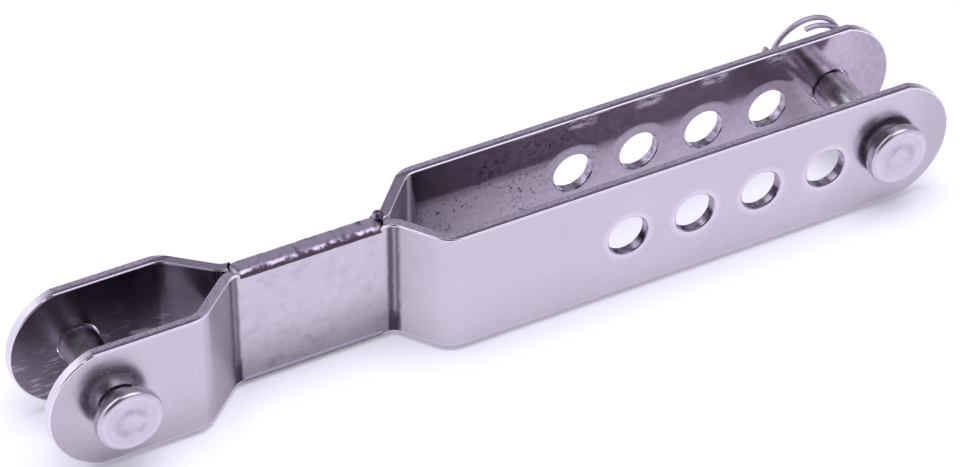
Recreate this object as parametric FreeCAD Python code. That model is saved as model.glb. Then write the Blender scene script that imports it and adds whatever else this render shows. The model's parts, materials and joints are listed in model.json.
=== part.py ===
"""Shroud adjuster for a small sailing boat, in stainless steel.

Two mirrored strips are bent from flat bar and welded back to back along a short web. They open
into a short fork at one end and a long fork with a row of pin holes at the other. Each fork holds
a headed clevis pin, and each pin is kept in by a split ring through its cross hole.

Millimetres. X runs along the adjuster from the short fork to the long fork, Y runs across the
cheeks from the pin heads to the split rings, and Z is up, across the width of the strip. The
origin is on the axis of the short fork's pin, midway between its cheeks.
"""

import FreeCAD, Part
import math
import os

from FreeCAD import Vector

# Flat bar
strip_width = 21.2
strip_thickness = 1.8
end_bulge = 0.5
edge_rounding = 0.3

# Plan shape of the bent strips, given at the faces that look outwards
short_fork_width = 17.0
long_fork_width = 19.4
short_cheek_end_x = 14.1
web_start_x = 21.7
web_end_x = {"head": 48.3, "ring": 47.6}
long_cheek_start_x = {"head": 54.0, "ring": 54.9}
cheek_bend_inner_radius = 3.0
web_bend_inner_radius = 2.2

# Pin holes
pin_diameter = 6.35
pin_hole_clearance = 0.275
hole_pitch = 12.0
first_hole_x = 85.0
adjuster_hole_count = 5
hole_deburr = 0.15

# Edge welds along the web
weld_depth = 0.9
top_weld_crown = 0.1
bottom_weld_crown = 1.0
weld_overlap = 0.2
weld_end_margin = 0.2

# Clevis pins
head_diameter = 10.5
head_thickness = 2.0
head_rim_radius = 0.75
head_underside_radius = 0.25
head_root_radius = 0.3
cross_hole_diameter = 2.8
cross_hole_to_tip = 3.2
tip_chamfer = 0.7
long_pin_float = 1.2

# Split rings
wire_diameter = 0.9
ring_mean_diameter = 13.8
ring_turn_gap = 0.15
long_ring_clearance = 0.2
short_ring_clearance = 1.1
inner_end_radius = 5.9
outer_end_radius = 7.5
inner_end_angle = 68.0
inner_merge_angle = -46.0
outer_flare_angle = -462.0
outer_open_angle = -520.0
outer_end_angle = -594.0
long_ring_lean_angle = 30.0
short_ring_lean_angle = -121.0
ring_path_spans = 22
ring_path_tolerance = 0.02

# Sizes that follow from the ones above
half_width = strip_width / 2
end_radius = half_width + end_bulge
hole_radius = pin_diameter / 2 + pin_hole_clearance
pin_radius = pin_diameter / 2
long_pin_x = first_hole_x + hole_pitch * (adjuster_hole_count - 1)
long_half = long_fork_width / 2
short_half = short_fork_width / 2
corner_inset = math.sqrt(end_radius ** 2 - half_width ** 2)
wire_radius = wire_diameter / 2
ring_mean_radius = ring_mean_diameter / 2
turn_pitch = wire_diameter + ring_turn_gap
middle_angle = -270.0


def ring_axial(angle):
    """Place along the ring's own axis, zero midway between the two passes through the pin."""
    return turn_pitch * (middle_angle - angle) / 360


ring_half_stack = ring_axial(outer_end_angle) + wire_radius
ring_half_stack = max(ring_half_stack, wire_radius - ring_axial(inner_end_angle))
long_hole_y = long_half + long_ring_clearance + ring_half_stack
short_hole_y = short_half + short_ring_clearance + ring_half_stack
pin_grip = long_hole_y + long_half + long_pin_float
ring_chord_sag = ring_mean_radius - math.sqrt(ring_mean_radius ** 2 - pin_radius ** 2)
ring_centre_distance = ring_mean_radius - ring_chord_sag / 2


def offset_corners(corners, distance):
    """Corners of a polyline moved sideways to its left by distance, with mitred corners."""
    normals = []
    for start, end in zip(corners, corners[1:]):
        along = end.sub(start).normalize()
        normals.append(Vector(-along.y, along.x, 0))
    moved = [corners[0].add(normals[0] * distance)]
    for corner, before, after in zip(corners[1:-1], normals, normals[1:]):
        mitre = before.add(after)
        mitre = mitre * (distance / (1 + before.dot(after)))
        moved.append(corner.add(mitre))
    moved.append(corners[-1].add(normals[-1] * distance))
    return moved


def rounded_edges(corners, radii):
    """Line and arc edges along a polyline whose inner corners are rounded by radii."""
    edges = []
    start = corners[0]
    for before, corner, after, radius in zip(corners, corners[1:], corners[2:], radii):
        back = before.sub(corner).normalize()
        ahead = after.sub(corner).normalize()
        half_angle = back.getAngle(ahead) / 2
        reach = radius / math.tan(half_angle)
        bisector = back.add(ahead).normalize()
        middle = corner.add(bisector * (radius / math.sin(half_angle) - radius))
        entry = corner.add(back * reach)
        leave = corner.add(ahead * reach)
        edges.append(Part.LineSegment(start, entry).toShape())
        edges.append(Part.Arc(entry, middle, leave).toShape())
        start = leave
    edges.append(Part.LineSegment(start, corners[-1]).toShape())
    return edges


def bent_blank(side, name):
    """The bent strip at its full width, square at both ends. side is -1 at the pin heads."""
    outside = [
        Vector(-end_radius, side * short_half, 0),
        Vector(short_cheek_end_x, side * short_half, 0),
        Vector(web_start_x, side * strip_thickness, 0),
        Vector(web_end_x[name], side * strip_thickness, 0),
        Vector(long_cheek_start_x[name], side * long_half, 0),
        Vector(long_pin_x + end_radius, side * long_half, 0),
    ]
    inside = offset_corners(outside, -side * strip_thickness)
    convex = cheek_bend_inner_radius
    concave = web_bend_inner_radius
    thickness = strip_thickness
    outside_radii = [convex + thickness, concave, concave, convex + thickness]
    inside_radii = [convex, concave + thickness, concave + thickness, convex]
    edges = rounded_edges(outside, outside_radii)
    edges.append(Part.LineSegment(outside[-1], inside[-1]).toShape())
    edges.extend(rounded_edges(inside, inside_radii))
    edges.append(Part.LineSegment(inside[0], outside[0]).toShape())
    wire = Part.Wire(Part.sortEdges(edges)[0])
    sheet = Part.Face(wire)
    sheet.translate(Vector(0, 0, -half_width))
    return sheet.extrude(Vector(0, 0, strip_width))


def side_outline(depth):
    """A block with the strip's outline seen from the side: straight edges and round ends."""
    short_top = Vector(-corner_inset, -depth, half_width)
    short_tip = Vector(-end_radius, -depth, 0)
    short_bottom = Vector(-corner_inset, -depth, -half_width)
    long_top = Vector(long_pin_x + corner_inset, -depth, half_width)
    long_tip = Vector(long_pin_x + end_radius, -depth, 0)
    long_bottom = Vector(long_pin_x + corner_inset, -depth, -half_width)
    edges = [
        Part.Arc(short_bottom, short_tip, short_top).toShape(),
        Part.LineSegment(short_top, long_top).toShape(),
        Part.Arc(long_top, long_tip, long_bottom).toShape(),
        Part.LineSegment(long_bottom, short_bottom).toShape(),
    ]
    return Part.Face(Part.Wire(edges)).extrude(Vector(0, 2 * depth, 0))


def is_rim(face):
    """True for a face on the strip's edge, false for one of its two broad faces."""
    axis = face.Surface.Axis
    if isinstance(face.Surface, Part.Plane):
        return abs(axis.z) > abs(axis.y)
    return abs(axis.y) > abs(axis.z)


def rim_edges(solid):
    """The edges where the strip's broad faces meet its narrow rim."""
    found = []
    for edge in solid.Edges:
        kinds = [is_rim(face) for face in solid.ancestorsOfType(edge, Part.Face)]
        if True in kinds and False in kinds:
            found.append(edge)
    return found


def hole_cutter(x, outer_y, inner_y):
    """A round hole through one cheek, with its two rims lightly deburred."""
    low = min(outer_y, inner_y)
    high = max(outer_y, inner_y)
    wide = hole_radius + hole_deburr
    profile = Part.makePolygon([
        Vector(0, low - hole_deburr, 0),
        Vector(wide + hole_deburr, low - hole_deburr, 0),
        Vector(hole_radius, low + hole_deburr, 0),
        Vector(hole_radius, high - hole_deburr, 0),
        Vector(wide + hole_deburr, high + hole_deburr, 0),
        Vector(0, high + hole_deburr, 0),
        Vector(0, low - hole_deburr, 0),
    ])
    cutter = Part.Face(profile).revolve(Vector(0, 0, 0), Vector(0, 1, 0), 360)
    cutter.translate(Vector(x, 0, 0))
    return cutter


def weld_span():
    """Where the weld's straight middle starts and ends along X."""
    margin = weld_end_margin + strip_thickness + weld_overlap
    return web_start_x + margin, min(web_end_x.values()) - margin


def turned_over(shape):
    """The same shape on the strip's bottom edge."""
    turned = shape.copy()
    turned.rotate(Vector(0, 0, 0), Vector(1, 0, 0), 180)
    return turned


def weld_seat():
    """The slot-shaped footprint that the top weld takes out of both strips' edges."""
    seat_z = half_width - weld_depth
    height = strip_thickness + weld_depth
    half = strip_thickness + weld_overlap
    start_x, end_x = weld_span()
    seat = Part.makeBox(end_x - start_x, 2 * half, height, Vector(start_x, -half, seat_z))
    for x in (start_x, end_x):
        seat = seat.fuse(Part.makeCylinder(half, height, Vector(x, 0, seat_z)))
    return seat.removeSplitter()


def weld_bead(crown_height):
    """A rounded bead that fills the top seat and stands a little above the strips' edges."""
    seat_z = half_width - weld_depth
    height = weld_depth + crown_height
    half = strip_thickness + weld_overlap
    start_x, end_x = weld_span()
    left = Vector(start_x, -half, seat_z)
    right = Vector(start_x, half, seat_z)
    crown = Vector(start_x, 0, seat_z + height)
    centre = Vector(start_x, 0, seat_z)
    arc = Part.Arc(left, crown, right).toShape()
    section = Part.Face(Part.Wire([arc, Part.LineSegment(right, left).toShape()]))
    body = section.extrude(Vector(end_x - start_x, 0, 0))
    one_side = Part.makeBox(half, half, height, Vector(start_x - half / 2, 0, seat_z))
    dome = section.common(one_side).revolve(centre, Vector(0, 0, 1), 360)
    far_dome = dome.copy()
    far_dome.translate(Vector(end_x - start_x, 0, 0))
    return body.fuse([dome, far_dome]).removeSplitter().Solids[0]


def strip_plate(side, name):
    """One bent strip with its rounded rim, its pin holes and the seats of both welds."""
    blank = bent_blank(side, name).common(side_outline(long_half + strip_thickness))
    blank = blank.removeSplitter()
    plate = blank.makeFillet(edge_rounding, rim_edges(blank))
    short_inner = side * (short_half - strip_thickness)
    plate = plate.cut(hole_cutter(0, side * short_half, short_inner))
    long_inner = side * (long_half - strip_thickness)
    for index in range(adjuster_hole_count):
        x = first_hole_x + index * hole_pitch
        plate = plate.cut(hole_cutter(x, side * long_half, long_inner))
    for seat in (weld_seat(), turned_over(weld_seat())):
        plate = plate.cut(seat)
    return plate.Solids[0]


def clevis_pin():
    """A headed pin on the Y axis, with the centre of its cross hole at the origin."""
    head_y = -pin_grip
    tip_y = cross_hole_to_tip
    head_radius = head_diameter / 2
    profile = Part.makePolygon([
        Vector(0, head_y - head_thickness, 0),
        Vector(head_radius, head_y - head_thickness, 0),
        Vector(head_radius, head_y, 0),
        Vector(pin_radius, head_y, 0),
        Vector(pin_radius, tip_y - tip_chamfer, 0),
        Vector(pin_radius - tip_chamfer, tip_y, 0),
        Vector(0, tip_y, 0),
        Vector(0, head_y - head_thickness, 0),
    ])
    pin = Part.Face(profile).revolve(Vector(0, 0, 0), Vector(0, 1, 0), 360)
    pin = round_ring_edge(pin, head_radius, head_y - head_thickness, head_rim_radius)
    pin = round_ring_edge(pin, head_radius, head_y, head_underside_radius)
    pin = round_ring_edge(pin, pin_radius, head_y, head_root_radius)
    reach = 2 * pin_diameter
    drill = Part.makeCylinder(cross_hole_diameter / 2, reach, Vector(-reach / 2, 0, 0), Vector(1, 0, 0))
    return pin.cut(drill).Solids[0]


def round_ring_edge(solid, radius, y, rounding):
    """Round the circular edge of that radius at that place along the pin."""
    circles = [edge for edge in solid.Edges if isinstance(edge.Curve, Part.Circle)]

    def distance(edge):
        return abs(edge.Curve.Radius - radius) + abs(edge.Curve.Center.y - y)

    return solid.makeFillet(rounding, [min(circles, key=distance)])


def ease(share):
    """A smooth step from 0 to 1."""
    share = min(max(share, 0), 1)
    return share * share * (3 - 2 * share)


def ring_radius_at(angle):
    """Distance of the wire from the ring's centre: curled in at one end, flared at the other."""
    inward = ease((angle - inner_merge_angle) / (inner_end_angle - inner_merge_angle))
    outward = ease((outer_flare_angle - angle) / (outer_flare_angle - outer_open_angle))
    radius = ring_mean_radius - inward * (ring_mean_radius - inner_end_radius)
    return radius + outward * (outer_end_radius - ring_mean_radius)


def split_ring():
    """A ring of sprung wire, its plane across Y, hung from a cross hole at the origin.

    The wire follows a smooth curve that is turned into tangent arcs, so each stretch of it is
    part of a true torus.
    """
    points = []
    span_angle = (outer_end_angle - inner_end_angle) / ring_path_spans
    for span in range(ring_path_spans + 1):
        angle = inner_end_angle + span_angle * span
        radius = ring_radius_at(angle)
        x = radius * math.cos(math.radians(angle))
        z = radius * math.sin(math.radians(angle)) + ring_centre_distance
        points.append(Vector(x, ring_axial(angle), z))
    curve = Part.BSplineCurve()
    curve.interpolate(points)
    path = Part.Wire([arc.toShape() for arc in curve.toBiArcs(ring_path_tolerance)])
    start_tangent = curve.tangent(curve.FirstParameter)[0]
    circle = Part.Wire(Part.Circle(points[0], start_tangent, wire_radius).toShape())
    return path.makePipeShell([circle], True, True).Solids[0]


def place(shape, x, y, lean):
    """Turn a piece about its pin's axis and put its cross hole at x, y."""
    placed = shape.copy()
    placed.rotate(Vector(0, 0, 0), Vector(0, 1, 0), -lean)
    placed.translate(Vector(x, y, 0))
    return placed


def save(name, shape):
    """Write one piece and say what it measures."""
    shape.exportStep("parts/" + name + ".step")
    box = shape.optimalBoundingBox()
    print(
        name,
        "valid" if shape.isValid() else "NOT VALID",
        "solids", len(shape.Solids),
        "volume", round(shape.Volume, 2),
        "x", round(box.XMin, 2), round(box.XMax, 2),
        "y", round(box.YMin, 2), round(box.YMax, 2),
        "z", round(box.ZMin, 2), round(box.ZMax, 2),
    )


os.makedirs("parts", exist_ok=True)

pin = clevis_pin()
ring = split_ring()

save("head_side_plate", strip_plate(-1, "head"))
save("ring_side_plate", strip_plate(1, "ring"))
save("top_weld", weld_bead(top_weld_crown))
save("bottom_weld", turned_over(weld_bead(bottom_weld_crown)))
save("short_fork_pin", place(pin, 0, short_hole_y, short_ring_lean_angle))
save("long_fork_pin", place(pin, long_pin_x, long_hole_y, long_ring_lean_angle))
save("short_fork_ring", place(ring, 0, short_hole_y, short_ring_lean_angle))
save("long_fork_ring", place(ring, long_pin_x, long_hole_y, long_ring_lean_angle))
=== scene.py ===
# %% [markdown]
# # A stainless shroud adjuster, dressed for its photograph
#
# A shroud adjuster sets the length of a mast's side stays on a small boat. Two strips of
# stainless bar are bent, laid back to back and welded along their edges. A headed pin
# crosses each fork, and a split ring through its tip keeps it in.
#
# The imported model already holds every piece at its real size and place, so this script
# only gives them their surfaces, their weld metal, a studio and a camera.

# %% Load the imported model
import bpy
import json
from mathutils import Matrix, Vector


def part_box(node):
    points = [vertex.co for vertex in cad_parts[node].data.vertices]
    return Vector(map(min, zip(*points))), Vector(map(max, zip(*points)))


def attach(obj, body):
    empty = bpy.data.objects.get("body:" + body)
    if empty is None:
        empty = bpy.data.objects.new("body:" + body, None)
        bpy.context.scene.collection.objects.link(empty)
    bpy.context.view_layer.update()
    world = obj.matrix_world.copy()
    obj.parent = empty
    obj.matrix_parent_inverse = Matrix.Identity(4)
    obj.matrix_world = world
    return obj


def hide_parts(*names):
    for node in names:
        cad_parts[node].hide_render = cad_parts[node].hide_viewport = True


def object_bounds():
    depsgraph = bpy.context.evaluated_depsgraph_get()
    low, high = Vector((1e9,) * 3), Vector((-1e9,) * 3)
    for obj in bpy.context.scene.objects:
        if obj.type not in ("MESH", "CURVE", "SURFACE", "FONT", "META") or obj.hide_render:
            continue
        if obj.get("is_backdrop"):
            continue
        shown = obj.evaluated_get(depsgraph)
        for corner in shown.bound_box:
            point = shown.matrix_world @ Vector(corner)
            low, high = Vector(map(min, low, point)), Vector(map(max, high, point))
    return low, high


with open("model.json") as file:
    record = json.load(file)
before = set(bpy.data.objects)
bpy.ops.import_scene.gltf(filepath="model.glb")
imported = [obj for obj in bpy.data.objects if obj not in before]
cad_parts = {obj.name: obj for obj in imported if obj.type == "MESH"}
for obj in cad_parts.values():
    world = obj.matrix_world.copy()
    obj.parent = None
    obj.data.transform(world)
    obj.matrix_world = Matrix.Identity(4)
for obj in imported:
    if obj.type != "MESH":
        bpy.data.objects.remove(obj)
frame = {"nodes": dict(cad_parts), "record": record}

cad_low, cad_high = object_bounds()
print("pieces:", ", ".join(sorted(frame["nodes"])))

# %% Helpers and units
import json
import math

import bpy
from mathutils import Matrix, Vector

MM = 0.001
MATH = "ShaderNodeMath"
VECTOR_MATH = "ShaderNodeVectorMath"
SPLIT = "ShaderNodeSeparateXYZ"
JOIN = "ShaderNodeCombineXYZ"
MIX = "ShaderNodeMix"
NOISE = "ShaderNodeTexNoise"
STEP = "ShaderNodeMapRange"
SOFT = {"interpolation_type": "SMOOTHSTEP"}


def colour(text):
    """A colour written as sRGB hex, as the linear values that the shaders work in."""
    channels = []
    for start in (1, 3, 5):
        value = int(text[start:start + 2], 16) / 255
        linear = value / 12.92 if value <= 0.04045 else ((value + 0.055) / 1.055) ** 2.4
        channels.append(linear)
    return (*channels, 1)


def add(tree, kind, settings=None, links=None):
    """Add one node. Settings fill its attributes or inputs, links join its inputs to others."""
    node = tree.nodes.new(kind)
    for key, value in (settings or {}).items():
        if isinstance(key, str) and hasattr(node, key):
            setattr(node, key, value)
        else:
            node.inputs[key].default_value = value
    for key, source in (links or {}).items():
        if isinstance(source, bpy.types.Node):
            source = next(socket for socket in source.outputs if socket.enabled)
        tree.links.new(source, node.inputs[key])
    return node


# %% [markdown]
# ## The sizes that the surfaces follow
#
# The finish changes where the strip was sheared, punched or bent, so the materials need to
# know where those places are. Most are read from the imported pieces. The metal's thickness,
# the pin's shank, the short fork's width and the places of the bends are the drawing's own.

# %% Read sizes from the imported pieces
plate_low, plate_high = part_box("head_side_plate")
pin_low, pin_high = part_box("long_fork_pin")
mounts = {mount["name"]: mount for mount in frame["record"]["mounts"]}
first_hole = mounts["adjuster_hole_1"]
hole_radius = first_hole["dims"]["r_mm"]
first_hole_x = first_hole["pos_m"][0] / MM
hole_pitch = mounts["adjuster_hole_2"]["pos_m"][0] / MM - first_hole_x
long_pin_x = (pin_low.x + pin_high.x) / 2 / MM
half_width = plate_high.z / MM
end_radius = -plate_low.x / MM
long_half = -plate_low.y / MM
weld_end_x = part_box("top_weld")[1].x / MM
weld_low_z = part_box("bottom_weld")[0].z / MM
floor_z = cad_low.z
print("hole pitch", round(hole_pitch, 2), "mm, radius", hole_radius, "mm")
print("strip half width", round(half_width, 2), "mm, end radius", round(end_radius, 2), "mm")

strip_thickness = 1.8
shank_radius = 3.175
short_half = 8.5
holes_in_row = 5
short_fork_end_x = 12
web_start_x = 21.7
web_middle_x = 35
web_end_x = 48
web_length = {"head": 26.6, "ring": 25.9}
print("long fork half width", round(long_half, 2), "mm, welds end at x =", round(weld_end_x, 1), "mm")

# %% [markdown]
# ## Weld beads
#
# One run of weld along the top and one along the bottom hold the two strips together. A
# bead is a row of frozen puddles: each left a crescent, bowed the way the torch went, and
# its foot wanders where it wet the strip more or less. The top bead was then polished
# over, which left its crown smooth and its foot ragged.
#
# A bead could be sculpted by hand, but it follows a rule along a path, so Geometry Nodes
# make it. A cylinder with many segments is laid along the joint. Each of its points gets a
# new place from two numbers: how far along the bead it is, and which way it faces.

# %% Build the weld bead's node tree
BEAD_NUMBERS = (
    "Length", "Half Width", "Foot", "Crown", "Left Round", "Right Round", "Ripple Pitch",
    "Ripple Depth", "Wander", "Seed", "Centre", "Side", "Blob Radius",
)
BEAD_INPUTS = {name: "NodeSocketFloat" for name in BEAD_NUMBERS}
BEAD_INPUTS["Blob Place"] = "NodeSocketVector"
BEAD_INPUTS["Metal"] = "NodeSocketMaterial"


def weld_bead_tree():
    """A tree that lays a rippled bead along X, above z = Foot for Side 1 and below it for -1."""
    tree = bpy.data.node_groups.new("weld_bead", "GeometryNodeTree")
    for name, kind in BEAD_INPUTS.items():
        tree.interface.new_socket(name, in_out="INPUT", socket_type=kind)
    tree.interface.new_socket("Geometry", in_out="OUTPUT", socket_type="NodeSocketGeometry")
    given = tree.nodes.new("NodeGroupInput").outputs

    blank = add(tree, "GeometryNodeMeshCylinder",
                {"Vertices": 72, "Side Segments": 420, "Fill Segments": 2, "Radius": 1, "Depth": 1})
    point = add(tree, SPLIT, links={0: add(tree, "GeometryNodeInputPosition")}).outputs
    along = add(tree, MATH, {"operation": "MULTIPLY"}, {0: point[2], 1: given["Length"]})

    # The ends close in a quarter circle, each with its own radius, just short of a point.
    to_right = add(tree, MATH, {"operation": "GREATER_THAN", 1: 0}, {0: along})
    end_round = add(tree, MIX, {"data_type": "FLOAT"},
                    {0: to_right, 2: given["Left Round"], 3: given["Right Round"]})
    half_length = add(tree, MATH, {"operation": "MULTIPLY", 1: 0.5}, {0: given["Length"]})
    to_end = add(tree, MATH, {"operation": "SUBTRACT"},
                 {0: half_length, 1: add(tree, MATH, {"operation": "ABSOLUTE"}, {0: along})})
    from_round = add(tree, MATH, {"operation": "SUBTRACT"}, {0: end_round, 1: to_end})
    share = add(tree, MATH, {"operation": "DIVIDE"}, {0: from_round, 1: end_round})
    share = add(tree, STEP, {"From Min": 0, "From Max": 1, "To Min": 0, "To Max": 0.998}, {0: share})
    squared = add(tree, MATH, {"operation": "POWER", 1: 2}, {0: share})
    closing = add(tree, MATH, {"operation": "SQRT"},
                  {0: add(tree, MATH, {"operation": "SUBTRACT", 0: 1}, {1: squared})})

    # The foot wanders to either side by its own noise.
    steps = add(tree, MATH, {"operation": "DIVIDE"}, {0: along, 1: given["Ripple Pitch"]})
    side = add(tree, MATH, {"operation": "SIGN"}, {0: point[0]})
    where = add(tree, JOIN, links={0: steps, 1: side, 2: given["Seed"]})
    drift = add(tree, NOISE, {"Scale": 0.55, "Detail": 3}, {"Vector": where})
    narrow = add(tree, MATH, {"operation": "MULTIPLY"}, {0: drift, 1: given["Wander"]})
    reach = add(tree, MATH, {"operation": "SUBTRACT"}, {0: given["Half Width"], 1: narrow})
    reach = add(tree, MATH, {"operation": "MULTIPLY"}, {0: reach, 1: closing})
    squarer = add(tree, MATH, {"operation": "POWER", 1: 0.85},
                  {0: add(tree, MATH, {"operation": "ABSOLUTE"}, {0: point[0]})})
    across = add(tree, MATH, {"operation": "MULTIPLY"}, {0: squarer, 1: side})
    across = add(tree, MATH, {"operation": "MULTIPLY"}, {0: across, 1: reach})

    # Crescents bow backwards: rounded crests with a sharp valley between each two.
    bow = add(tree, MATH, {"operation": "MULTIPLY"}, {0: point[0], 1: point[0]})
    phase = add(tree, MATH, {"operation": "ADD"}, {0: steps, 1: bow})
    phase = add(tree, MATH, {"operation": "ADD"}, {0: phase, 1: drift})
    wave = add(tree, MATH, {"operation": "SINE"},
               {0: add(tree, MATH, {"operation": "MULTIPLY", 1: math.pi}, {0: phase})})
    crest = add(tree, MATH, {"operation": "ABSOLUTE"}, {0: wave})
    valley = add(tree, MATH, {"operation": "SUBTRACT", 0: 1}, {1: crest})
    sink = add(tree, MATH, {"operation": "MULTIPLY"}, {0: valley, 1: given["Ripple Depth"]})
    tall = add(tree, MATH, {"operation": "SUBTRACT"}, {0: given["Crown"], 1: sink})
    tall = add(tree, MATH, {"operation": "MULTIPLY"}, {0: tall, 1: closing})
    facing_up = add(tree, MATH, {"operation": "MAXIMUM", 1: 0}, {0: point[1]})
    facing_up = add(tree, MATH, {"operation": "POWER", 1: 0.9}, {0: facing_up})
    height = add(tree, MATH, {"operation": "MULTIPLY_ADD"}, {0: facing_up, 1: tall, 2: given["Foot"]})

    # Side turns the bead over about its own length, so its faces still point outwards.
    placed = add(tree, JOIN, links={
        0: add(tree, MATH, {"operation": "ADD"}, {0: along, 1: given["Centre"]}),
        1: add(tree, MATH, {"operation": "MULTIPLY"}, {0: across, 1: given["Side"]}),
        2: add(tree, MATH, {"operation": "MULTIPLY"}, {0: height, 1: given["Side"]}),
    })
    bead = add(tree, "GeometryNodeSetPosition", links={"Geometry": blank, "Position": placed})

    # The torch was lifted off at the right end, and left a small round blob there.
    blob = add(tree, "GeometryNodeMeshUVSphere", {"Segments": 40, "Rings": 24},
               {"Radius": given["Blob Radius"]})
    blob = add(tree, "GeometryNodeTransform", links={"Geometry": blob, "Translation": given["Blob Place"]})
    weld = add(tree, "GeometryNodeJoinGeometry", links={"Geometry": bead})
    tree.links.new(blob.outputs[0], weld.inputs["Geometry"])
    weld = add(tree, "GeometryNodeSetShadeSmooth", {"Shade Smooth": True}, {"Geometry": weld})
    weld = add(tree, "GeometryNodeRealizeInstances", links={"Geometry": weld})
    weld = add(tree, "GeometryNodeSetMaterial", links={"Geometry": weld, "Material": given["Metal"]})
    add(tree, "NodeGroupOutput", links={"Geometry": weld})
    print("weld bead tree:", len(tree.nodes), "nodes")
    return tree


def grow(name, tree, inputs):
    """Run a tree with its named inputs, and give back the plain mesh object that it makes."""
    grown = bpy.data.objects.new(name, bpy.data.meshes.new(name))
    bpy.context.scene.collection.objects.link(grown)
    modifier = grown.modifiers.new(name, "NODES")
    modifier.node_group = tree
    for item in tree.interface.items_tree:
        if item.in_out == "INPUT":
            modifier[item.identifier] = inputs[item.name]
    evaluated = grown.evaluated_get(bpy.context.evaluated_depsgraph_get())
    mesh = bpy.data.meshes.new_from_object(evaluated)
    grown.modifiers.remove(modifier)
    grown.data = mesh
    print(name, len(mesh.polygons), "faces")
    return grown


# %% [markdown]
# ## Weld metal
#
# Stainless weld metal has the strip's own colour once it is brushed. The crown took the
# polish. The foot did not: heat left a brown-grey skin in its undercut, broken into short
# dark patches where the wheel could not reach. The end where the torch was lifted kept that
# skin too. The bottom bead carries painted shade, darkest along its lowest line.
#
# Every metal here is made the same way. A base colour, a roughness and a height are worked
# out from the point's own place in millimetres, and one function joins them to the shader.
# A mask between 0 and 1 says where each mark lies. Small functions narrow a mask, tint a
# colour through it, and shift a value by it.

# %% Helpers for a metal
def new_tree(name):
    """An empty material of this name, as its node tree."""
    material = bpy.data.materials.new(name)
    material.use_nodes = True
    return material.node_tree


def millimetres(tree):
    """The object's own coordinates, in millimetres."""
    place = add(tree, "ShaderNodeTexCoord").outputs["Object"]
    return add(tree, VECTOR_MATH, {"operation": "SCALE", "Scale": 1 / MM}, {0: place})


def steel(name, base, roughness, height, depth_mm):
    """Finish a metal: its colour, its roughness, and a height that runs in depths of depth_mm."""
    material = bpy.data.materials[name]
    tree = material.node_tree
    shader = tree.nodes["Principled BSDF"]
    shader.inputs["Metallic"].default_value = 1
    tree.links.new(base.outputs[2], shader.inputs["Base Color"])
    tree.links.new(roughness.outputs[0], shader.inputs["Roughness"])
    bump = add(tree, "ShaderNodeBump", {"Strength": 1, "Distance": depth_mm * MM}, {"Height": height})
    tree.links.new(bump.outputs[0], shader.inputs["Normal"])
    print(name, "nodes:", len(tree.nodes))
    return material


def narrowed(tree, mask, *limits):
    """A mask that stays only where all of its limits let it."""
    for limit in limits:
        mask = add(tree, MATH, {"operation": "MULTIPLY"}, {0: mask, 1: limit})
    return mask


def tinted(tree, base, *layers):
    """Lay colours over a base one by one, each through its own mask."""
    for mask, text in layers:
        base = add(tree, MIX, {"data_type": "RGBA", 7: colour(text)}, {0: mask, 6: base})
    return base


def shifted(tree, value, *changes):
    """Change a value by a given amount wherever a mask is 1, one mask after the other."""
    for mask, change in changes:
        value = add(tree, MATH, {"operation": "MULTIPLY_ADD", 1: change}, {0: mask, 2: value})
    return value


def drifting(tree, clouds, smooth, rough):
    """A roughness that drifts with the clouds between a smooth and a rough value."""
    return add(tree, STEP, {**SOFT, "From Min": 0.3, "From Max": 0.75, "To Min": smooth, "To Max": rough},
               {0: clouds})


# %% Polished weld bead
tree = new_tree("polished_weld_bead")
place = millimetres(tree)
axes = add(tree, SPLIT, links={0: place}).outputs
up = add(tree, MATH, {"operation": "ABSOLUTE"}, {0: axes[2]})
at_top = add(tree, MATH, {"operation": "GREATER_THAN", 1: 0}, {0: axes[2]})
clouds = add(tree, NOISE, {"Scale": 1 / 2.2, "Detail": 3}, {"Vector": place})
base = add(tree, MIX, {"data_type": "RGBA", 6: colour("#C3B5C9"), 7: colour("#AFA0B6")}, {0: clouds})

# The undercut: dark where the bead's foot, raised and lowered by ragged patches, meets the strip.
stretched = add(tree, "ShaderNodeMapping", {"Scale": (0.9, 0.3, 1.6)}, {"Vector": place})
patches = add(tree, NOISE, {"Scale": 1, "Detail": 3}, {"Vector": stretched})
ragged = add(tree, MATH, {"operation": "MULTIPLY_ADD", 1: -1.6}, {0: patches, 2: up})
undercut = add(tree, STEP, {**SOFT, "From Min": half_width - 0.75, "From Max": half_width - 1.2}, {0: ragged})
undercut = narrowed(tree, undercut, at_top)

# The heated right end, then the bottom bead, whose painted shade darkens it to its lowest line.
heated = add(tree, STEP, {**SOFT, "From Min": weld_end_x - 1.3, "From Max": weld_end_x - 0.7}, {0: axes[0]})
base = tinted(tree, base, (undercut, "#5E4F5C"), (heated, "#665A6B"))
lowest = add(tree, STEP, {**SOFT, "From Min": weld_low_z + 1.3, "From Max": weld_low_z + 0.8}, {0: axes[2]})
under = add(tree, MIX, {"data_type": "RGBA", 6: colour("#B0A5B5"), 7: colour("#5F5464")}, {0: lowest})
base = add(tree, MIX, {"data_type": "RGBA"}, {0: at_top, 6: under, 7: base})

roughness = shifted(tree, drifting(tree, clouds, 0.22, 0.34), (undercut, 0.25))
weld_material = steel("polished_weld_bead", base, roughness, clouds, 0.07)

# %% [markdown]
# ## Both beads in place
#
# The tree's inputs make two different welds. The top one is nearly smooth, and its left end
# is long and round. The bottom one was never polished, so its ripples are about five times
# as deep. Both ride on the strips they join.

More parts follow.
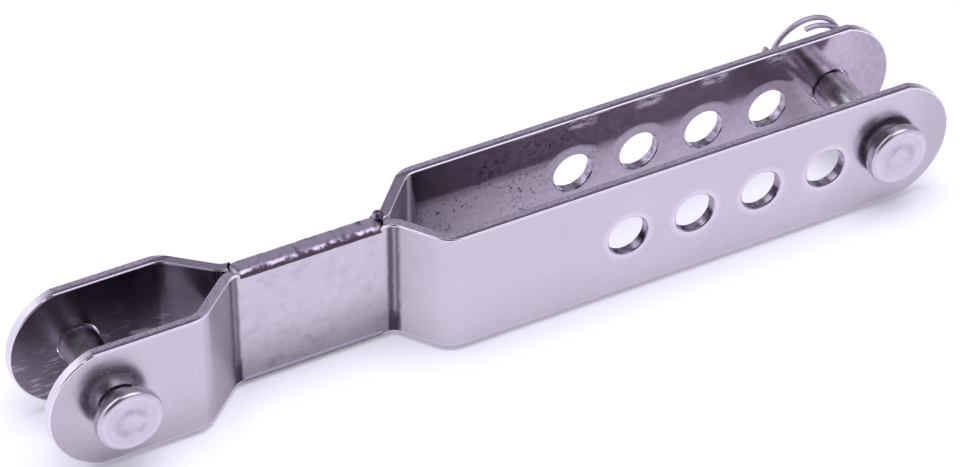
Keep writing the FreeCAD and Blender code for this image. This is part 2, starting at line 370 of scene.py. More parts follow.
# %% Lay the two beads
# All sizes are in millimetres. The inset brings the bottom bead flush with the web's faces.
BEADS = {
    "top_weld": {"side": 1, "inset": 0.0, "left_round": 1.7, "right_round": 1.3, "ripple_depth": 0.015,
                 "wander": 0.22, "seed": 3.0, "blob_y": 0.9, "blob_rise": 0.1},
    "bottom_weld": {"side": -1, "inset": 0.16, "left_round": 1.1, "right_round": 1.1, "ripple_depth": 0.08,
                    "wander": 0.16, "seed": 8.0, "blob_y": 0.7, "blob_rise": -0.4},
}
ripple_pitch = 1.3
blob_radius = 0.95
blob_from_end = 0.3
bead_tree = weld_bead_tree()
for node, bead in BEADS.items():
    low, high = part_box(node)
    foot = min(abs(low.z), abs(high.z))
    blob_z = bead["side"] * (half_width + bead["blob_rise"])
    piece = grow(node + "_bead", bead_tree, {
        "Length": high.x - low.x,
        "Half Width": high.y - bead["inset"] * MM,
        "Foot": foot,
        "Crown": max(abs(low.z), abs(high.z)) - foot,
        "Left Round": bead["left_round"] * MM,
        "Right Round": bead["right_round"] * MM,
        "Ripple Pitch": ripple_pitch * MM,
        "Ripple Depth": bead["ripple_depth"] * MM,
        "Wander": bead["wander"] * MM,
        "Seed": bead["seed"],
        "Centre": (low.x + high.x) / 2,
        "Side": float(bead["side"]),
        "Blob Radius": blob_radius * MM,
        "Blob Place": Vector((high.x - blob_from_end * MM, bead["blob_y"] * MM, blob_z * MM)),
        "Metal": weld_material,
    })
    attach(piece, "frame")
    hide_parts(node)

# %% [markdown]
# ## Tumbled strip
#
# The strip is cold-rolled stainless steel. It was sheared, punched and bent, then tumbled
# in a barrel of stones until it shone. Tumbling leaves a soft mirror: it shows near shapes
# clearly and blurs far ones. Its surface is never quite even. There are faint smears and tiny
# pits where a stone struck, and painted shade darkens the inside of the forks.
#
# One metal colour with a single roughness would look like plastic film. Here each mark, and
# each painted shade and highlight, lies at its own place. So the first step is a set of
# functions that measure, at any point of the strip, how far away each hole, edge and bend is.
# A painted texture could hold the same marks, but it would not follow if a size changed.

# %% Where the strip was punched, sheared and bent
def hole_distance(tree, place):
    """Distance in mm from the nearest hole's axis, in the row or in the short fork."""
    axes = add(tree, SPLIT, links={0: place}).outputs
    along = add(tree, MATH, {"operation": "SUBTRACT", 1: first_hole_x}, {0: axes[0]})
    pitches = add(tree, MATH, {"operation": "DIVIDE", 1: hole_pitch}, {0: along})
    nearest = add(tree, MATH, {"operation": "ROUND"}, {0: pitches})
    nearest = add(tree, MATH, {"operation": "MAXIMUM", 1: 0}, {0: nearest})
    nearest = add(tree, MATH, {"operation": "MINIMUM", 1: holes_in_row - 1}, {0: nearest})
    in_row = add(tree, MATH, {"operation": "MULTIPLY_ADD", 1: -hole_pitch}, {0: nearest, 2: along})
    in_row = add(tree, MATH, {"operation": "ABSOLUTE"}, {0: in_row})
    in_short = add(tree, MATH, {"operation": "ABSOLUTE"}, {0: axes[0]})
    off = add(tree, MATH, {"operation": "MINIMUM"}, {0: in_row, 1: in_short})
    return add(tree, VECTOR_MATH, {"operation": "LENGTH"}, {0: add(tree, JOIN, links={0: off, 2: axes[2]})})


def rim_depth(tree, place):
    """Depth in mm in from the strip's outline, zero at its sheared edge."""
    axes = add(tree, SPLIT, links={0: place}).outputs
    before = add(tree, MATH, {"operation": "MINIMUM", 1: 0}, {0: axes[0]})
    beyond = add(tree, MATH, {"operation": "SUBTRACT", 1: long_pin_x}, {0: axes[0]})
    beyond = add(tree, MATH, {"operation": "MAXIMUM", 1: 0}, {0: beyond})
    off = add(tree, MATH, {"operation": "ADD"}, {0: before, 1: beyond})
    round_end = add(tree, VECTOR_MATH, {"operation": "LENGTH"},
                    {0: add(tree, JOIN, links={0: off, 2: axes[2]})})
    from_end = add(tree, MATH, {"operation": "SUBTRACT", 0: end_radius}, {1: round_end})
    wide = add(tree, MATH, {"operation": "ABSOLUTE"}, {0: axes[2]})
    from_edge = add(tree, MATH, {"operation": "SUBTRACT", 0: half_width}, {1: wide})
    return add(tree, MATH, {"operation": "MINIMUM"}, {0: from_end, 1: from_edge})


def web_share(tree, place):
    """How far along the web a point is: 0 at the bend by the short fork, 1 at the other."""
    axes = add(tree, SPLIT, links={0: place}).outputs
    on_ring_side = add(tree, MATH, {"operation": "GREATER_THAN", 1: 0}, {0: axes[1]})
    length = add(tree, STEP, {"To Min": web_length["head"], "To Max": web_length["ring"]}, {0: on_ring_side})
    along = add(tree, MATH, {"operation": "SUBTRACT", 1: web_start_x}, {0: axes[0]})
    return add(tree, MATH, {"operation": "DIVIDE"}, {0: along, 1: length})


def facing_inwards(tree, place):
    """1 on faces that look into a fork, 0 on those that look out."""
    normal = add(tree, "ShaderNodeTexCoord").outputs["Normal"]
    faced = add(tree, SPLIT, links={0: normal}).outputs[1]
    half = add(tree, MATH, {"operation": "SIGN"}, {0: add(tree, SPLIT, links={0: place}).outputs[1]})
    outward = add(tree, MATH, {"operation": "MULTIPLY"}, {0: faced, 1: half})
    return add(tree, STEP, {**SOFT, "From Min": 0.1, "From Max": -0.3}, {0: outward})


def painted_shade_along(tree, lines, place):
    """Painted shade along a place, from its lines: pairs of a place and a brightness."""
    first, last = lines[0][0], lines[-1][0]
    share = add(tree, STEP, {"From Min": first, "From Max": last}, {0: place})
    ramp = add(tree, "ShaderNodeValToRGB", links={0: share})
    marks = ramp.color_ramp.elements
    for position, value in lines[1:-1]:
        marks.new((position - first) / (last - first)).color = (value, value, value, 1)
    for mark, value in ((marks[0], lines[0][1]), (marks[len(marks) - 1], lines[-1][1])):
        mark.color = (value, value, value, 1)
    return ramp


# %% [markdown]
# ### The mill's skin, and painted shade inside
#
# The rolls left a fine, slightly grey skin, and the barrel's stones took it off the outside,
# so the outside is the brightest. The inside faces carry painted shade, darkest on the head
# side, whose inner faces the far cheek mirrors. Four noises at real sizes give the unevenness:
# clouds 8 mm across and stretched along the rolling direction, mottle of 1 mm, pits of 0.3 mm
# and slow waves.

# %% Mill skin, and painted shade inside
tree = new_tree("tumbled_stainless_strip")
place = millimetres(tree)
axes = add(tree, SPLIT, links={0: place}).outputs
hole = hole_distance(tree, place)
rim = rim_depth(tree, place)
inside = facing_inwards(tree, place)
outside = add(tree, MATH, {"operation": "SUBTRACT", 0: 1.0}, {1: inside})
on_ring_side = add(tree, MATH, {"operation": "GREATER_THAN", 1: 0}, {0: axes[1]})

lengthways = add(tree, "ShaderNodeMapping", {"Scale": (0.5, 1, 1)}, {"Vector": place})
clouds = add(tree, NOISE, {"Scale": 1 / 8, "Detail": 4, "Roughness": 0.6}, {"Vector": lengthways})
mottle = add(tree, NOISE, {"Scale": 1 / 1.1, "Detail": 4, "Roughness": 0.65}, {"Vector": place})
pits = add(tree, NOISE, {"Scale": 1 / 0.3, "Detail": 2}, {"Vector": place})
waves = add(tree, NOISE, {"Scale": 1 / 8, "Detail": 1}, {"Vector": lengthways})
blotch = add(tree, STEP, {**SOFT, "From Min": 0.35, "From Max": 0.65}, {0: mottle})

outer_skin = add(tree, MIX, {"data_type": "RGBA", 6: colour("#CDC5CE"), 7: colour("#C5BDC7")}, {0: clouds})
# Painted shade: the inside faces are darker than the outside, the head side most, with random blotches.
ring_inside_painted_shade = add(tree, MIX, {"data_type": "RGBA", 6: colour("#BEB2C0"), 7: colour("#B4A8B6")}, {0: blotch})
head_inside_painted_shade = add(tree, MIX, {"data_type": "RGBA", 6: colour("#90858F"), 7: colour("#7B707C")}, {0: blotch})
inside_painted_shade_colour = add(tree, MIX, {"data_type": "RGBA"}, {0: on_ring_side, 6: head_inside_painted_shade, 7: ring_inside_painted_shade})
base = add(tree, MIX, {"data_type": "RGBA"}, {0: inside, 6: outer_skin, 7: inside_painted_shade_colour})
print("mill skin:", len(tree.nodes), "nodes")

# %% [markdown]
# ### Stains, burnished rings and painted reflections
#
# Small dark stains lie in the closed end of the long fork, where water and dirt stay. Round
# each hole the punch's stripper plate burnished a pale ring on the outside. Along the inner
# top edge a pale painted reflection lies above each hole of the row. A noise alone would strew
# such marks everywhere, so each is narrowed down to its place before it is laid on.

# %% Stains, burnished rings and painted reflections of the holes
stains = add(tree, NOISE, {"Scale": 1 / 0.55, "Detail": 3, "Roughness": 0.6}, {"Vector": place})
stains = add(tree, STEP, {**SOFT, "From Min": 0.58, "From Max": 0.64}, {0: stains})
regions = add(tree, NOISE, {"Scale": 1 / 6, "Detail": 1}, {"Vector": place})
here = add(tree, STEP, {**SOFT, "From Min": 0.45, "From Max": 0.62}, {0: regions})
closed_end = add(tree, STEP, {**SOFT, "From Min": first_hole_x + 15, "From Max": first_hole_x - 5},
                 {0: axes[0]})
past_web = add(tree, STEP, {"From Min": web_end_x, "From Max": web_end_x + 2}, {0: axes[0]})
stains = narrowed(tree, stains, here, closed_end, past_web, inside)

burnished = add(tree, STEP, {**SOFT, "From Min": hole_radius + 1.5, "From Max": hole_radius + 0.4,
                             "To Max": 0.6}, {0: hole})
burnished = narrowed(tree, burnished, outside)

long_strokes = add(tree, "ShaderNodeMapping", {"Scale": (0.35, 1, 1.6)}, {"Vector": place})
streaks = add(tree, NOISE, {"Scale": 1 / 1.2, "Detail": 4, "Roughness": 0.7}, {"Vector": long_strokes})
# Painted reflections of the row's holes, pale patches along the inner top edge.
painted_reflections = add(tree, STEP, {**SOFT, "From Min": 0.38, "From Max": 0.56}, {0: streaks})
above_hole = add(tree, MATH, {"operation": "SUBTRACT", 1: first_hole_x + 1.5}, {0: axes[0]})
above_hole = add(tree, MATH, {"operation": "PINGPONG", 1: hole_pitch / 2}, {0: above_hole})
above_hole = add(tree, STEP, {**SOFT, "From Min": 3.2, "From Max": 1.2}, {0: above_hole})
near_top = add(tree, STEP, {**SOFT, "From Min": half_width - 2.6, "From Max": half_width - 1.2}, {0: axes[2]})
in_row = add(tree, STEP, {"From Min": first_hole_x - 5, "From Max": first_hole_x - 4}, {0: axes[0]})
before_pin = add(tree, STEP, {"From Min": long_pin_x - 5, "From Max": long_pin_x - 6}, {0: axes[0]})
painted_reflections = narrowed(tree, painted_reflections, above_hole, near_top, in_row, before_pin, inside)

base = tinted(tree, base, (stains, "#66596C"), (burnished, "#DFD8E1"), (painted_reflections, "#EFE8F2"))
print("with its stains and rubbed marks:", len(tree.nodes), "nodes")

# %% [markdown]
# ### Painted shade on the web
#
# The press bent the strip at both ends of the web. The hollow of each bend carries dark lines
# of painted shade and reflection, broader towards the bottom. Painted shade also darkens the
# web's lower part, with random smears.
#
# Brightness along the strip is written as a row of pairs: a place, and how much of its
# brightness the metal keeps there. On the web the place is a share of its length, so the
# lines follow both strips although their bends lie apart.

# %% Painted shade lines on the outside
WEB_SHADES = (
    (-0.300, 1.0), (-0.270, 0.85), (-0.200, 0.66), (-0.060, 0.60), (-0.036, 0.45), (-0.024, 0.12),
    (-0.012, 0.22), (0.006, 0.40), (0.016, 0.20), (0.026, 0.42), (0.038, 1.0),
    (0.948, 1.0), (0.958, 0.75), (0.968, 0.22), (0.980, 0.12), (0.992, 0.22), (1.001, 0.55),
    (1.011, 0.24), (1.020, 0.28), (1.030, 1.0), (1.060, 1.0),
)
jitter = add(tree, MATH, {"operation": "MULTIPLY_ADD", 1: 0.016, 2: -0.008}, {0: mottle})
web_place = add(tree, MATH, {"operation": "ADD"}, {0: web_share(tree, place), 1: jitter})
web_painted_shade = painted_shade_along(tree, WEB_SHADES, web_place)

# The hollows' lowest parts get the darkest painted shade.
off_middle = add(tree, MATH, {"operation": "SUBTRACT", 1: 0.5}, {0: web_place})
off_middle = add(tree, MATH, {"operation": "ABSOLUTE"}, {0: off_middle})
in_hollow = add(tree, STEP, {"From Min": 0.46, "From Max": 0.475}, {0: off_middle})
past_hollow = add(tree, STEP, {"From Min": 0.51, "From Max": 0.53}, {0: off_middle})
in_hollow = add(tree, MATH, {"operation": "SUBTRACT"}, {0: in_hollow, 1: past_hollow})
drop = add(tree, MATH, {"operation": "MULTIPLY_ADD", 1: 3.0}, {0: mottle, 2: axes[2]})
low = add(tree, STEP, {**SOFT, "From Min": -3.5, "From Max": -6.5}, {0: drop})
low = narrowed(tree, low, in_hollow)
web_painted_shade = add(tree, MIX, {"data_type": "FLOAT", 3: 0.06}, {0: low, 2: web_painted_shade})

# Painted shade darkens the web towards the bottom, with smears. The short cheek gets less of it.
web_low_shade = add(tree, STEP, {**SOFT, "From Min": 3.0, "From Max": -9.0, "To Max": 0.5}, {0: drop})
smears = add(tree, NOISE, {"Scale": 1 / 2.4, "Detail": 5, "Roughness": 0.7}, {"Vector": place})
smears = add(tree, STEP, {**SOFT, "From Min": 0.45, "From Max": 0.75, "To Max": 0.17}, {0: smears})
web_low_shade = add(tree, MATH, {"operation": "ADD"}, {0: web_low_shade, 1: smears})
before_bend = add(tree, STEP, {**SOFT, "From Min": 1.0, "From Max": 0.94}, {0: web_place})
past_short = add(tree, STEP, {**SOFT, "From Min": -0.1, "From Max": 0.02, "To Min": 0.35}, {0: web_place})
web_low_shade = narrowed(tree, web_low_shade, before_bend, past_short)
kept = add(tree, MATH, {"operation": "SUBTRACT", 0: 1.0}, {1: web_low_shade})
web_painted_shade = narrowed(tree, web_painted_shade, kept)
web_painted_shade = add(tree, MIX, {"data_type": "FLOAT", 3: 1.0}, {0: inside, 2: web_painted_shade})
print("places of brightness along the web:", len(WEB_SHADES))

# %% [markdown]
# ### Painted shade inside the forks
#
# Inside a fork, painted shade darkens the metal towards the closed end, and each bend carries
# narrow painted lines of shade and reflection. One more row of pairs holds both, now in
# millimetres along the strip. In the short fork pale scuffs cross the lower half. The rounded
# outer ends carry a little painted shade too.

# %% Painted shade inside the forks and at the ends
FORK_SHADES = (
    (-11.0, 0.52), (-4.0, 0.40), (1.0, 0.15), (9.0, 0.10), (12.2, 0.26), (12.9, 0.15), (13.6, 0.38),
    (14.2, 0.22), (15.4, 0.38), (22.0, 0.38), (46.0, 0.45), (53.8, 0.45), (54.6, 0.10), (55.2, 0.15),
    (55.8, 0.5), (56.4, 0.15), (57.0, 0.2), (58.5, 0.42), (64.0, 0.60), (72.0, 0.78), (84.0, 0.94),
    (92.0, 1.0),
)
fork_shade = painted_shade_along(tree, FORK_SHADES, axes[0])
in_short_fork = add(tree, STEP, {**SOFT, "From Min": short_fork_end_x + 8, "From Max": short_fork_end_x},
                    {0: axes[0]})
scuffed = add(tree, STEP, {**SOFT, "From Min": 0.50, "From Max": 0.64, "To Max": 0.75}, {0: streaks})
sunk = add(tree, STEP, {**SOFT, "From Min": 2.0, "From Max": -3.0, "To Min": 0.1}, {0: axes[2]})
scuffed = narrowed(tree, scuffed, sunk, in_short_fork)
fork_shade = add(tree, MATH, {"operation": "ADD", "use_clamp": True}, {0: fork_shade, 1: scuffed})
fork_inside_shade = add(tree, MIX, {"data_type": "FLOAT", 2: 1.0}, {0: inside, 3: fork_shade})

# Painted shade at the rounded outer ends.
at_left_end = add(tree, STEP, {**SOFT, "From Min": -2.0, "From Max": -10.0, "To Max": 0.12}, {0: axes[0]})
at_right_end = add(tree, STEP, {**SOFT, "From Min": long_pin_x + 1.0, "From Max": long_pin_x + 9.0,
                                "To Max": 0.16}, {0: axes[0]})
ends_shade = add(tree, MATH, {"operation": "ADD"}, {0: at_left_end, 1: at_right_end})
ends_unshaded = add(tree, MATH, {"operation": "SUBTRACT", 0: 1.0}, {1: ends_shade})
# All the painted shade darkens the colour towards a deep grey.
dimmed = narrowed(tree, web_painted_shade, fork_inside_shade, ends_unshaded)
base = add(tree, MIX, {"data_type": "RGBA", 6: colour("#33283A")}, {0: dimmed, 7: base})
print("places of brightness along the forks:", len(FORK_SHADES))

# %% [markdown]
# ### What the punch and the shears left
#
# Inside a hole, and along the strip's edge, the metal was torn and not cut. A bore's wall is
# blotched grey. The edge is grainy, with painted shade along its front side. The round ends
# were ground afterwards, which made them pale. Between face and edge a narrow painted
# highlight runs along the arris.

# %% Bore walls and sheared rim
in_bore = add(tree, STEP, {**SOFT, "From Min": hole_radius + 0.25, "From Max": hole_radius + 0.05}, {0: hole})
torn = add(tree, MIX, {"data_type": "RGBA", 6: colour("#BBB0C1"), 7: colour("#82768A")}, {0: blotch})

# Depth through the metal, from the face on the pin heads' side: 0 there, strip_thickness behind.
on_long = add(tree, MATH, {"operation": "GREATER_THAN", 1: web_middle_x}, {0: axes[0]})
half = add(tree, STEP, {"To Min": short_half, "To Max": long_half}, {0: on_long})
back_half = add(tree, MATH, {"operation": "SUBTRACT", 0: strip_thickness}, {1: half})
front_face = add(tree, MIX, {"data_type": "FLOAT"}, {0: on_ring_side, 2: half, 3: back_half})
through = add(tree, MATH, {"operation": "ADD"}, {0: axes[1], 1: front_face})
ragged = add(tree, MATH, {"operation": "MULTIPLY_ADD", 1: 0.8}, {0: mottle, 2: through})
# Painted shade along the edge's front side.
front_rim_shade = add(tree, STEP, {**SOFT, "From Min": 1.2, "From Max": 1.0}, {0: ragged})
on_cheek = add(tree, STEP, {"From Min": -0.1, "From Max": 0.1, "To Min": 0.6}, {0: through})
front_rim_shade = narrowed(tree, front_rim_shade, on_cheek)

grain = add(tree, STEP, {**SOFT, "From Min": 0.4, "From Max": 0.6}, {0: pits})
past_left = add(tree, STEP, {**SOFT, "From Min": -3.0, "From Max": -6.5}, {0: axes[0]})
past_right = add(tree, STEP, {**SOFT, "From Min": long_pin_x + 3.0, "From Max": long_pin_x + 6.5},
                 {0: axes[0]})
ground = add(tree, MATH, {"operation": "MAXIMUM"}, {0: past_left, 1: past_right})
rim_metal = add(tree, MIX, {"data_type": "RGBA", 6: colour("#CDC0D2"), 7: colour("#AFA0B5")}, {0: grain})
rim_metal = tinted(tree, rim_metal, (front_rim_shade, "#85778B"), (ground, "#E6DFE9"))

# A painted highlight along the arris between face and edge.
painted_arris_highlight = add(tree, STEP, {**SOFT, "From Min": 0.34, "From Max": 0.26}, {0: rim})
sheared = add(tree, STEP, {**SOFT, "From Min": 0.06, "From Max": 0.02}, {0: rim})
base = add(tree, MIX, {"data_type": "RGBA"}, {0: in_bore, 6: base, 7: torn})
base = tinted(tree, base, (painted_arris_highlight, "#EAE3EC"))
base = add(tree, MIX, {"data_type": "RGBA"}, {0: sheared, 6: base, 7: rim_metal})
print("with its bores and edges:", len(tree.nodes), "nodes")

# %% [markdown]
# ### How soft the mirror is
#
# Roughness starts from the tumbled outside and then goes up or down by what each mark did.
# The painted reflections of the holes are rougher. The inside is a clearer mirror, and gives
# the far cheek its crisp dark reflection; its darker colour is painted shade.
#
# The height tells the eye that the metal was worked: it is drawn in round each hole, it waves
# slowly from the rolls, and it has pits. The deepest is under 0.1 mm, so bump carries it
# without moving the surface.

# %% Roughness and height
pitted = add(tree, STEP, {**SOFT, "From Min": 0.68, "From Max": 0.75}, {0: pits})
pitted = narrowed(tree, pitted, outside)
dull_inside = narrowed(tree, inside, in_short_fork)
roughness = drifting(tree, clouds, 0.24, 0.30)
roughness = shifted(tree, roughness, (inside, -0.18), (painted_reflections, 0.45), (painted_arris_highlight, -0.04), (sheared, 0.22),
                    (dull_inside, 0.21), (pitted, 0.15))

drawn_in = add(tree, STEP, {**SOFT, "From Min": hole_radius + 2.2, "From Max": hole_radius, "To Max": -0.9},
               {0: hole})
rough_skin = narrowed(tree, mottle, inside)
grainy_rim = narrowed(tree, pits, sheared)
height = shifted(tree, drawn_in, (waves, 0.35), (pitted, -0.12), (rough_skin, 0.015), (grainy_rim, 0.12))
strip_material = steel("tumbled_stainless_strip", base, roughness, height, 0.08)

# %% [markdown]
# ## Turned pins and drawn wire
#
# The clevis pins are turned from bar. The tool's feed leaves fine rings on the face of the
# head; real ones are 0.1 mm apart, and 0.45 mm is as fine as the picture can show. Handling
# left smudges near the middle of the head, and the chamfer caught the light in a pale ring.
# Painted shade darkens the head's underside, and painted light brightens the shank.
#
# The split rings are spring wire, drawn through a die. Drawing leaves an even, satin skin,
# rougher than the pins and with no marks of its own at this size.

# %% Turned pin
tree = new_tree("turned_stainless_pin")
place = millimetres(tree)
axes = add(tree, SPLIT, links={0: place}).outputs
faced = add(tree, SPLIT, links={0: add(tree, "ShaderNodeTexCoord").outputs["Normal"]}).outputs[1]
on_long_pin = add(tree, MATH, {"operation": "GREATER_THAN", 1: long_pin_x / 2}, {0: axes[0]})
off = add(tree, MATH, {"operation": "MULTIPLY_ADD", 1: -long_pin_x}, {0: on_long_pin, 2: axes[0]})
radial = add(tree, VECTOR_MATH, {"operation": "LENGTH"}, {0: add(tree, JOIN, links={0: off, 2: axes[2]})})
front = add(tree, STEP, {"From Min": -0.9, "From Max": -0.98}, {0: faced})
# Painted shade on the head's underside, which faces the cheek.
under = add(tree, STEP, {**SOFT, "From Min": 0.3, "From Max": 0.8}, {0: faced})

# Painted light: the shank is coloured lighter than the head.
slim = add(tree, STEP, {"From Min": shank_radius + 0.3, "From Max": shank_radius + 0.1}, {0: radial})
round_side = add(tree, STEP, {"From Min": -0.8, "From Max": -0.5}, {0: faced})
shank = narrowed(tree, slim, round_side)

# Smudges lie in a ring round the middle of the head's face, and the chamfer's ring near its rim.
smudge_radius = 2.1
chamfer_radius = 4.35
smudges = add(tree, NOISE, {"Scale": 1 / 2.0, "Detail": 3}, {"Vector": place})
smudges = add(tree, STEP, {**SOFT, "From Min": 0.3, "From Max": 0.7}, {0: smudges})
wiped = add(tree, MATH, {"operation": "SUBTRACT", 1: smudge_radius}, {0: radial})
wiped = add(tree, MATH, {"operation": "ABSOLUTE"}, {0: wiped})
wiped = add(tree, STEP, {**SOFT, "From Min": 1.1, "From Max": 0.1}, {0: wiped})
wiped = narrowed(tree, wiped, smudges, front)
chamfered = add(tree, MATH, {"operation": "SUBTRACT", 1: chamfer_radius}, {0: radial})
chamfered = add(tree, MATH, {"operation": "ABSOLUTE"}, {0: chamfered})
chamfered = add(tree, STEP, {**SOFT, "From Min": 0.3, "From Max": 0.1, "To Max": 0.2}, {0: chamfered})
chamfered = narrowed(tree, chamfered, front)

clouds = add(tree, NOISE, {"Scale": 1 / 2.5, "Detail": 3}, {"Vector": place})
base = add(tree, MIX, {"data_type": "RGBA", 6: colour("#D4CBD6"), 7: colour("#C4BBC7")}, {0: clouds})
base = tinted(tree, base, (under, "#857A88"), (shank, "#E9E2EB"), (wiped, "#B4AAB8"), (chamfered, "#ECE5EE"))
roughness = shifted(tree, drifting(tree, clouds, 0.24, 0.34), (wiped, 0.12), (under, 0.2))

ring_pitch = 0.45
turned = add(tree, MATH, {"operation": "MULTIPLY", 1: 2 * math.pi / ring_pitch}, {0: radial})
turned = add(tree, MATH, {"operation": "SINE"}, {0: turned})
ringed = add(tree, JOIN, links={0: radial, 1: axes[1]})
lines = add(tree, NOISE, {"Scale": 1 / 0.35, "Detail": 2}, {"Vector": ringed})
height = shifted(tree, lines, (turned, 0.3))
pin_material = steel("turned_stainless_pin", base, roughness, height, 0.008)

# %% Drawn spring wire
tree = new_tree("drawn_spring_wire")
place = millimetres(tree)
clouds = add(tree, NOISE, {"Scale": 1 / 1.2, "Detail": 3}, {"Vector": place})
base = add(tree, MIX, {"data_type": "RGBA", 6: colour("#C4BAC8"), 7: colour("#AEA3B2")}, {0: clouds})
roughness = drifting(tree, clouds, 0.36, 0.46)
wire_material = steel("drawn_spring_wire", base, roughness, clouds, 0.01)

# %% [markdown]
# ## Finishes on their pieces
#
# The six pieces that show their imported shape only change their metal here. They stay where
# the model put them, so its joints still turn them.

# %% Give each piece its finish
finishes = {
    "head_side_plate": strip_material,
    "ring_side_plate": strip_material,
    "short_fork_pin": pin_material,
    "long_fork_pin": pin_material,
    "short_fork_ring": wire_material,
    "long_fork_ring": wire_material,
}
for node, material in finishes.items():
    frame["nodes"][node].data.materials.clear()
    frame["nodes"][node].data.materials.append(material)
    print(node, "wears", material.name)

# %% [markdown]
# ## Floor
#
# The floor is matt white paper. A photographer lights it until it is nearly white, so here
# it also glows a little, both straight to the camera and in what the metal mirrors. The glow
# lights nothing: the shade that the part casts on the paper stays, and the shaded paper
# between the cheeks still shows darker in them.

# %% Paper floor
floor_reach = 3
corners = [(-floor_reach, -floor_reach), (floor_reach, -floor_reach), (floor_reach, floor_reach),
           (-floor_reach, floor_reach)]
floor_mesh = bpy.data.meshes.new("paper_floor")
floor_mesh.from_pydata([(x, y, floor_z) for x, y in corners], [], [(0, 1, 2, 3)])
floor = bpy.data.objects.new("paper_floor", floor_mesh)
bpy.context.scene.collection.objects.link(floor)
floor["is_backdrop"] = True
print("paper floor at", round(floor_z / MM, 2), "mm")

paper_glow = 0.25
tree = new_tree("matt_white_paper")
paper = add(tree, "ShaderNodeBsdfDiffuse", {"Color": colour("#F4F3F8")})
ray = add(tree, "ShaderNodeLightPath").outputs
showing = add(tree, MATH, {"operation": "MAXIMUM"}, {0: ray["Is Glossy Ray"], 1: ray["Is Transmission Ray"]})
showing = add(tree, MATH, {"operation": "MAXIMUM"}, {0: ray["Is Camera Ray"], 1: showing})
showing = add(tree, MATH, {"operation": "MULTIPLY", 1: paper_glow}, {0: showing})
glow = add(tree, "ShaderNodeEmission", {"Color": colour("#F6F3FF")}, {"Strength": showing})
lit = add(tree, "ShaderNodeAddShader", links={0: paper, 1: glow})

# Seen from below, the paper is clear, so the part's underside can be looked at.
clear = add(tree, "ShaderNodeBsdfTransparent")
below = add(tree, "ShaderNodeNewGeometry").outputs["Backfacing"]
seen = add(tree, "ShaderNodeMixShader", links={0: below, 1: lit, 2: clear})
tree.links.new(seen.outputs[0], tree.nodes["Material Output"].inputs["Surface"])
floor_mesh.materials.append(bpy.data.materials["matt_white_paper"])

# %% [markdown]
# ## Studio light
#
# Polished metal shows the room and little else, so the room is most of the picture. It is
# painted straight on to the world: pale walls up to about eye level, a dim ceiling, and five
# patches. A window to the back left whitens the rounded ends. A light overhead draws the
# bright line along every upper edge. The right wall, the card behind and the corner where
# the camera stands are darker, and give the bends and the pins' necks their dark shapes.
#
# Real panels round the part would do the same, but they would also cast light and shadow on
# the paper. So the room is only mirrored, the camera sees plain white past the paper's edge,
# and an even fill and one softbox light the paper.

# %% The room that the metal mirrors
ROOM_TINT = colour("#F3F4FF")
PATCHES = (
    # what it is, the way to it, the cosines of its outer and inner edge, its strength
    ("window", (-0.62, 0.34, 0.70), 0.79, 0.93, 1.7),
    ("overhead light", (0.36, -0.20, 0.90), 0.84, 0.95, 2.2),
    ("right wall", (0.75, 0.60, 0.25), 0.60, 0.90, 0.45),
    ("card behind", (0.45, 0.66, 0.60), 0.88, 0.97, 0.6),
    ("camera corner", (-0.45, -0.75, 0.48), 0.80, 0.93, 0.05),
)
fill_strength = 0.4
world = bpy.data.worlds.new("studio")
bpy.context.scene.world = world
world.use_nodes = True
tree = world.node_tree
direction = add(tree, "ShaderNodeTexCoord").outputs["Generated"]
up = add(tree, SPLIT, links={0: direction}).outputs[2]
room = add(tree, STEP, {**SOFT, "From Min": 0.3, "From Max": 0.55, "To Min": 1.0, "To Max": 0.2}, {0: up})
for name, towards, outer, inner, strength in PATCHES:
    closeness = add(tree, VECTOR_MATH, {"operation": "DOT_PRODUCT", 1: Vector(towards).normalized()},
                    {0: direction})
    share = add(tree, STEP, {**SOFT, "From Min": outer, "From Max": inner}, {0: closeness.outputs["Value"]})
    room = add(tree, MIX, {"data_type": "FLOAT", 3: strength}, {0: share, 2: room})
    print(name, "strength", strength)
ray = add(tree, "ShaderNodeLightPath").outputs
mirrored = add(tree, MATH, {"operation": "MAXIMUM"}, {0: ray["Is Glossy Ray"], 1: ray["Is Transmission Ray"]})
plain = add(tree, MIX, {"data_type": "FLOAT", 2: fill_strength}, {0: mirrored, 3: room})
strength = add(tree, MIX, {"data_type": "FLOAT", 3: 1.0}, {0: ray["Is Camera Ray"], 2: plain})
tint = add(tree, MIX, {"data_type": "RGBA", 6: ROOM_TINT, 7: (1, 1, 1, 1)}, {0: ray["Is Camera Ray"]})
tree.links.new(strength.outputs[0], tree.nodes["Background"].inputs["Strength"])
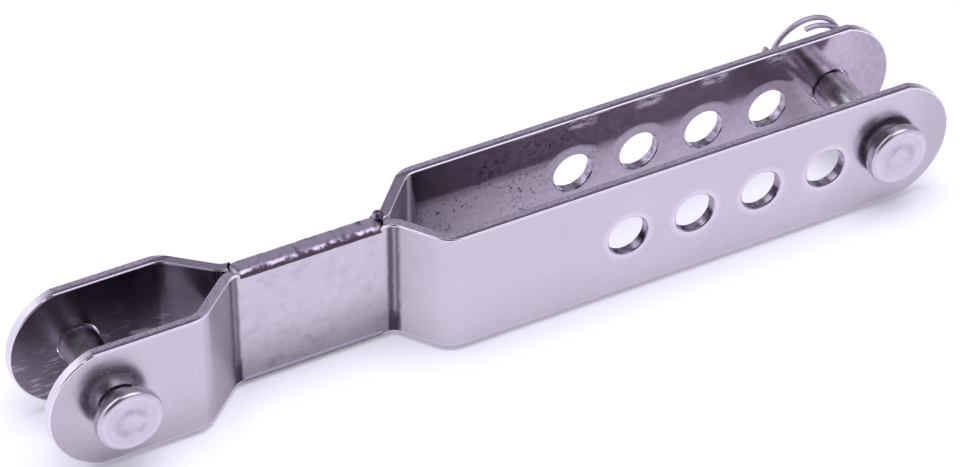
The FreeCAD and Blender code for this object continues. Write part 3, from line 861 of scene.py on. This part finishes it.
tree.links.new(tint.outputs[2], tree.nodes["Background"].inputs["Color"])

# %% [markdown]
# ## Softbox
#
# One broad disc of light hangs 0.8 m above the part. It leaves a soft shade beside the part
# and no hard shadow. The mirror does not see it, because it would burn a hard white line
# along every edge.

# %% Softbox
lamp = bpy.data.lights.new("softbox", "AREA")
lamp.shape = "DISK"
lamp.size = 0.7
lamp.energy = 5.0
lamp.color = ROOM_TINT[:3]
softbox = bpy.data.objects.new("softbox", lamp)
softbox.visible_camera = False
softbox.visible_glossy = False
bpy.context.scene.collection.objects.link(softbox)
aim = Vector((65, 1.5, 0)) * MM
softbox.location = aim + Vector((0.02, -0.04, 0.80))
softbox.rotation_euler = (aim - softbox.location).to_track_quat("-Z", "Y").to_euler()
print("softbox hangs at", [round(value, 3) for value in softbox.location], "m")

# %% [markdown]
# ## Camera
#
# The camera stands where the photographer's did. Its place was fitted to the strip's edges
# and to the rows of holes, whose even pitch fixes how strongly the picture converges.

# %% Camera
camera_azimuth = 28.07
camera_elevation = 39.56
camera_roll = 0.23
camera_distance = 542.7
camera_target = (64.94, 1.46, 0)
camera_data = bpy.data.cameras.new("camera")
camera_data.lens = 131.5
camera_data.sensor_width = 36
camera_data.clip_start = 0.01
camera = bpy.data.objects.new("camera", camera_data)
bpy.context.scene.collection.objects.link(camera)
azimuth = math.radians(camera_azimuth)
elevation = math.radians(camera_elevation)
looking = Vector((math.sin(azimuth) * math.cos(elevation), math.cos(azimuth) * math.cos(elevation),
                  -math.sin(elevation)))
turned = looking.to_track_quat("-Z", "Y").to_matrix() @ Matrix.Rotation(math.radians(camera_roll), 3, "Z")
stand = Vector(camera_target) * MM - looking * camera_distance * MM
camera.matrix_world = Matrix.Translation(stand) @ turned.to_4x4()
bpy.context.scene.camera = camera
bpy.context.scene.view_settings.view_transform = "Standard"
print("camera stands at", [round(value, 3) for value in stand], "m")

# %% The finished sizes
low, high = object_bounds()
print("visual box:", [round(value / MM, 2) for value in (*low, *high)], "mm")
